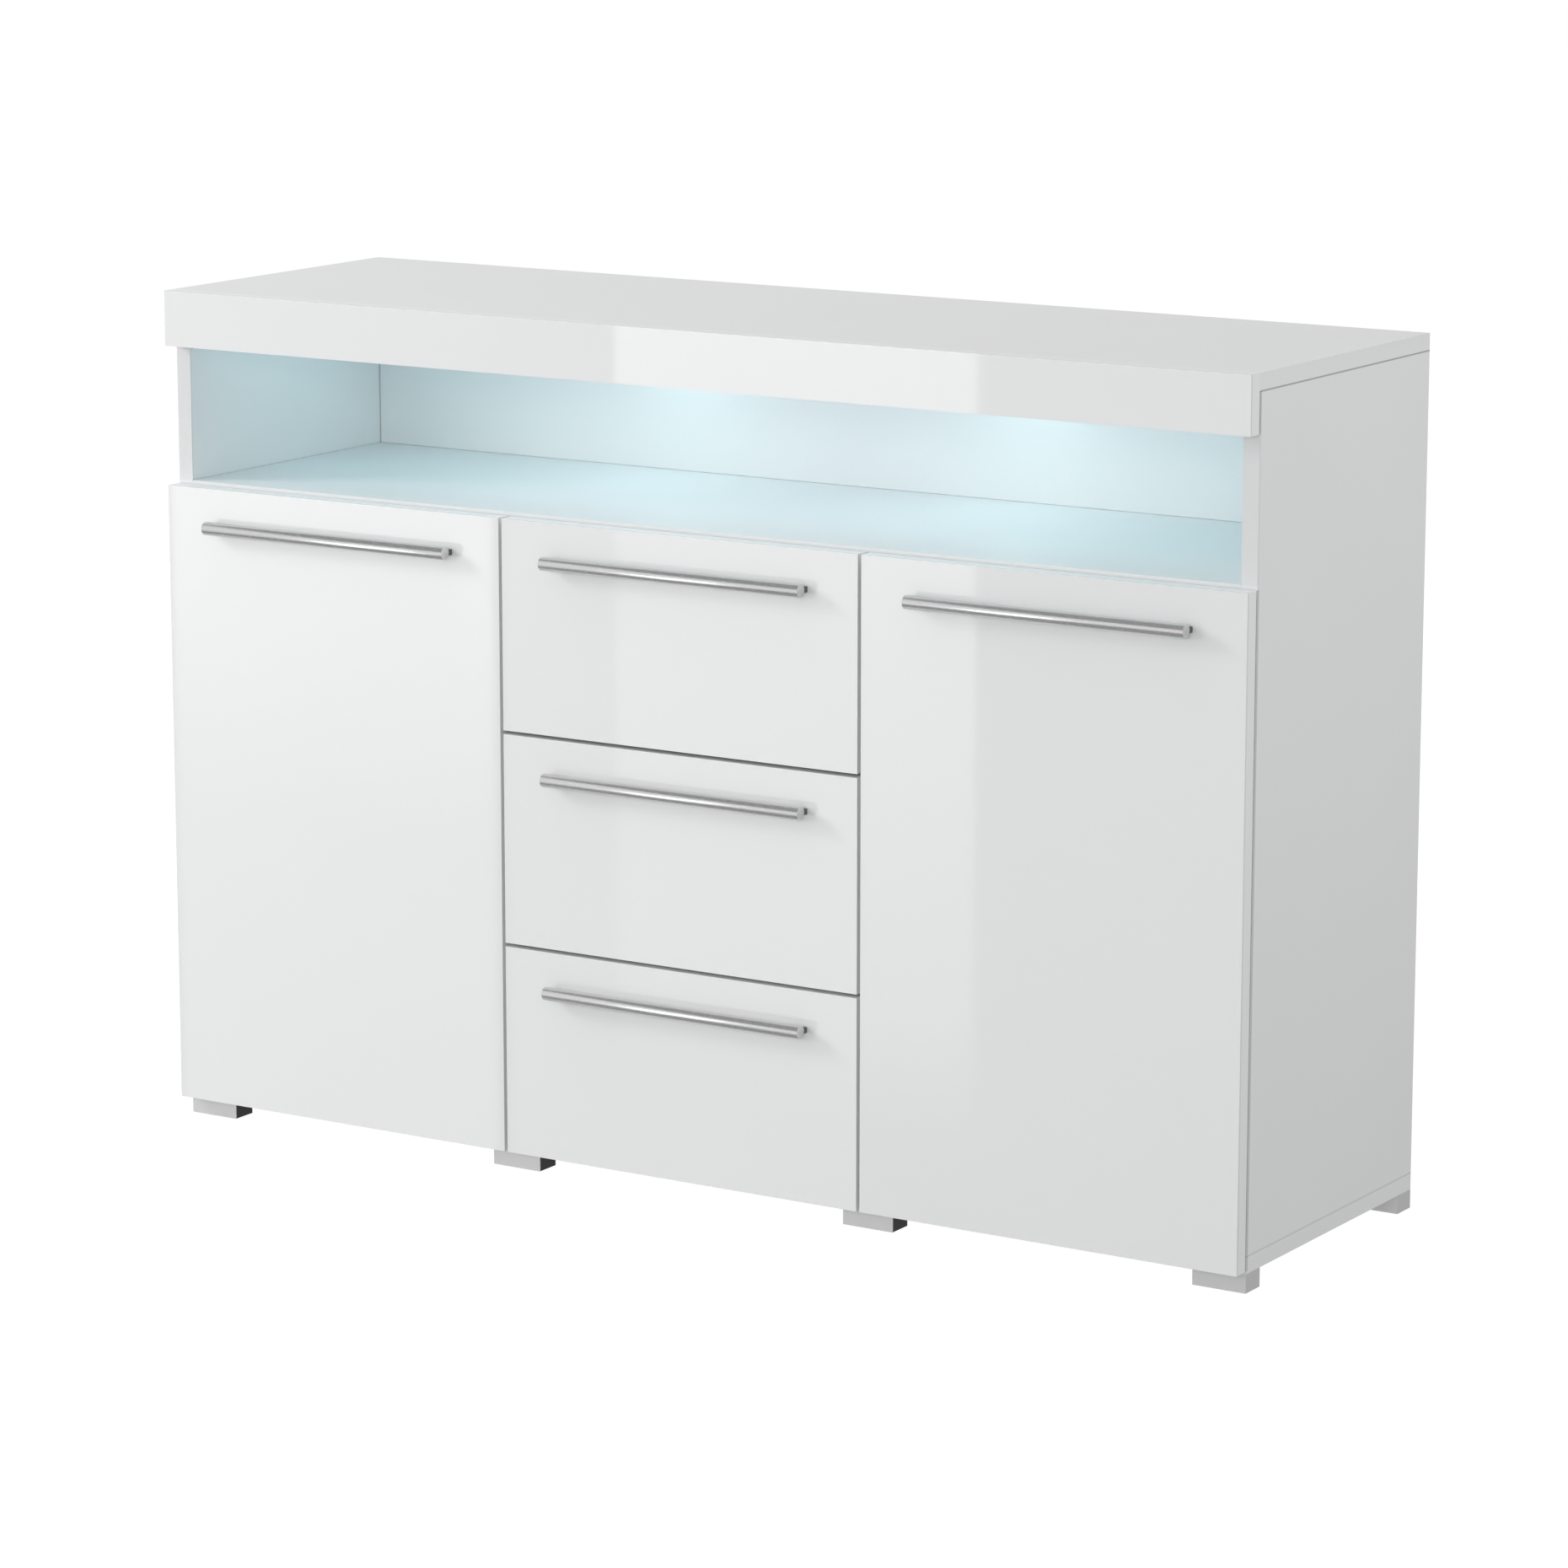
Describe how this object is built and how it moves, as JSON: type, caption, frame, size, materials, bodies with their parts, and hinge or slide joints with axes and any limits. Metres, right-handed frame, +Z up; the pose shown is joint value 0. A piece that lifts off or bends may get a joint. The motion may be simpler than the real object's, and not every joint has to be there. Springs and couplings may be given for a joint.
{
  "type": "sideboard buffet",
  "caption": "White sideboard with hinged doors at the sides, stacked drawers between them on telescopic slides, and a lit open niche under the top, on short silver feet.",
  "frame": {"origin": "on the floor, at the middle of the whole object's width and depth, handles included", "axes": "+X to the right seen from the front, +Y to the back, +Z up; the fronts face -Y"},
  "size_m": [1.32, 0.41, 0.92],
  "materials": {
    "satin_laminate": "satin",
    "gloss_front": "high gloss",
    "thin_board": "matt painted",
    "drawer_laminate": "satin",
    "satin_metal": "satin",
    "post_metal": "satin",
    "zinc": "satin",
    "hinge_steel": "satin nickel",
    "slide_steel": "zinc plated",
    "foot_plastic": "matt",
    "silver_trim": "satin silver",
    "lamp_shell": "satin",
    "lamp_lens": "frosted, lit cool white",
    "lead_sheath": "matt",
    "beech": "raw"
  },
  "bodies": {
    "carcass": {"top_panel": "satin_laminate", "front_fascia": "gloss_front", "left_side_panel": "satin_laminate", "right_side_panel": "satin_laminate", "bottom_panel": "satin_laminate", "niche_floor_panel": "satin_laminate", "niche_back_panel": "satin_laminate", "left_partition": "satin_laminate", "right_partition": "satin_laminate", "rear_panel": "thin_board", "left_shelf": "satin_laminate", "right_shelf": "satin_laminate", "shelf_pins": "zinc", "feet": "foot_plastic", "foot_trims": "silver_trim", "foot_screws": "zinc", "lamp_housings": "lamp_shell", "lamp_lenses": "lamp_lens", "lamp_leads": "lead_sheath", "lamp_driver": "lamp_shell", "hinge_plates": "hinge_steel", "hinge_arms": "hinge_steel", "hinge_screws": "zinc", "outer_rails": "slide_steel", "cam_fittings": "zinc", "wood_dowels": "beech"},
    "left_door": {"left_door_panel": "gloss_front", "left_door_handle_bar": "satin_metal", "left_door_handle_fittings": "post_metal", "left_hinge_cups": "hinge_steel"},
    "left_links": {"left_hinge_links": "hinge_steel"},
    "right_door": {"right_door_panel": "gloss_front", "right_door_handle_bar": "satin_metal", "right_door_handle_fittings": "post_metal", "right_hinge_cups": "hinge_steel"},
    "right_links": {"right_hinge_links": "hinge_steel"},
    "top_drawer": {"top_drawer_front": "gloss_front", "top_drawer_sides": "drawer_laminate", "top_drawer_back": "drawer_laminate", "top_drawer_bottom": "thin_board", "top_drawer_handle_bar": "satin_metal", "top_drawer_fittings": "post_metal", "top_drawer_inner_rails": "slide_steel"},
    "top_slide_middles": {"top_drawer_middle_rails": "slide_steel"},
    "middle_drawer": {"middle_drawer_front": "gloss_front", "middle_drawer_sides": "drawer_laminate", "middle_drawer_back": "drawer_laminate", "middle_drawer_bottom": "thin_board", "middle_drawer_handle_bar": "satin_metal", "middle_drawer_fittings": "post_metal", "middle_drawer_inner_rails": "slide_steel"},
    "middle_slide_middles": {"middle_drawer_middle_rails": "slide_steel"},
    "bottom_drawer": {"bottom_drawer_front": "gloss_front", "bottom_drawer_sides": "drawer_laminate", "bottom_drawer_back": "drawer_laminate", "bottom_drawer_bottom": "thin_board", "bottom_drawer_handle_bar": "satin_metal", "bottom_drawer_fittings": "post_metal", "bottom_drawer_inner_rails": "slide_steel"},
    "bottom_slide_middles": {"bottom_drawer_middle_rails": "slide_steel"}
  },
  "joints": [
    {"name": "left_door_swing", "type": "hinge", "parent": "carcass", "child": "left_door", "pos_m": [-0.653, -0.183, 0.365], "axis": [0, 0, -1], "range_deg": [0, 105]},
    {"name": "left_hinge_link_turn", "type": "hinge", "parent": "carcass", "child": "left_links", "pos_m": [-0.6234, -0.1688, 0.365], "axis": [0, 0, 1], "range_deg": [0, 49.4]},
    {"name": "right_door_swing", "type": "hinge", "parent": "carcass", "child": "right_door", "pos_m": [0.653, -0.183, 0.365], "axis": [0, 0, 1], "range_deg": [0, 105]},
    {"name": "right_hinge_link_turn", "type": "hinge", "parent": "carcass", "child": "right_links", "pos_m": [0.6234, -0.1688, 0.365], "axis": [0, 0, -1], "range_deg": [0, 49.4]},
    {"name": "top_drawer_slide", "type": "slide", "parent": "carcass", "child": "top_drawer", "axis": [0, -1, 0], "range_m": [0, 0.33]},
    {"name": "top_rail_slide", "type": "slide", "parent": "carcass", "child": "top_slide_middles", "axis": [0, -1, 0], "range_m": [0, 0.165]},
    {"name": "middle_drawer_slide", "type": "slide", "parent": "carcass", "child": "middle_drawer", "axis": [0, -1, 0], "range_m": [0, 0.33]},
    {"name": "middle_rail_slide", "type": "slide", "parent": "carcass", "child": "middle_slide_middles", "axis": [0, -1, 0], "range_m": [0, 0.165]},
    {"name": "bottom_drawer_slide", "type": "slide", "parent": "carcass", "child": "bottom_drawer", "axis": [0, -1, 0], "range_m": [0, 0.33]},
    {"name": "bottom_rail_slide", "type": "slide", "parent": "carcass", "child": "bottom_slide_middles", "axis": [0, -1, 0], "range_m": [0, 0.165]}
  ],
  "couplings": [
    {"joint": "left_hinge_link_turn", "follows": "left_door_swing", "ratio": 0.47},
    {"joint": "right_hinge_link_turn", "follows": "right_door_swing", "ratio": 0.47},
    {"joint": "top_rail_slide", "follows": "top_drawer_slide", "ratio": 0.5},
    {"joint": "middle_rail_slide", "follows": "middle_drawer_slide", "ratio": 0.5},
    {"joint": "bottom_rail_slide", "follows": "bottom_drawer_slide", "ratio": 0.5}
  ]
}
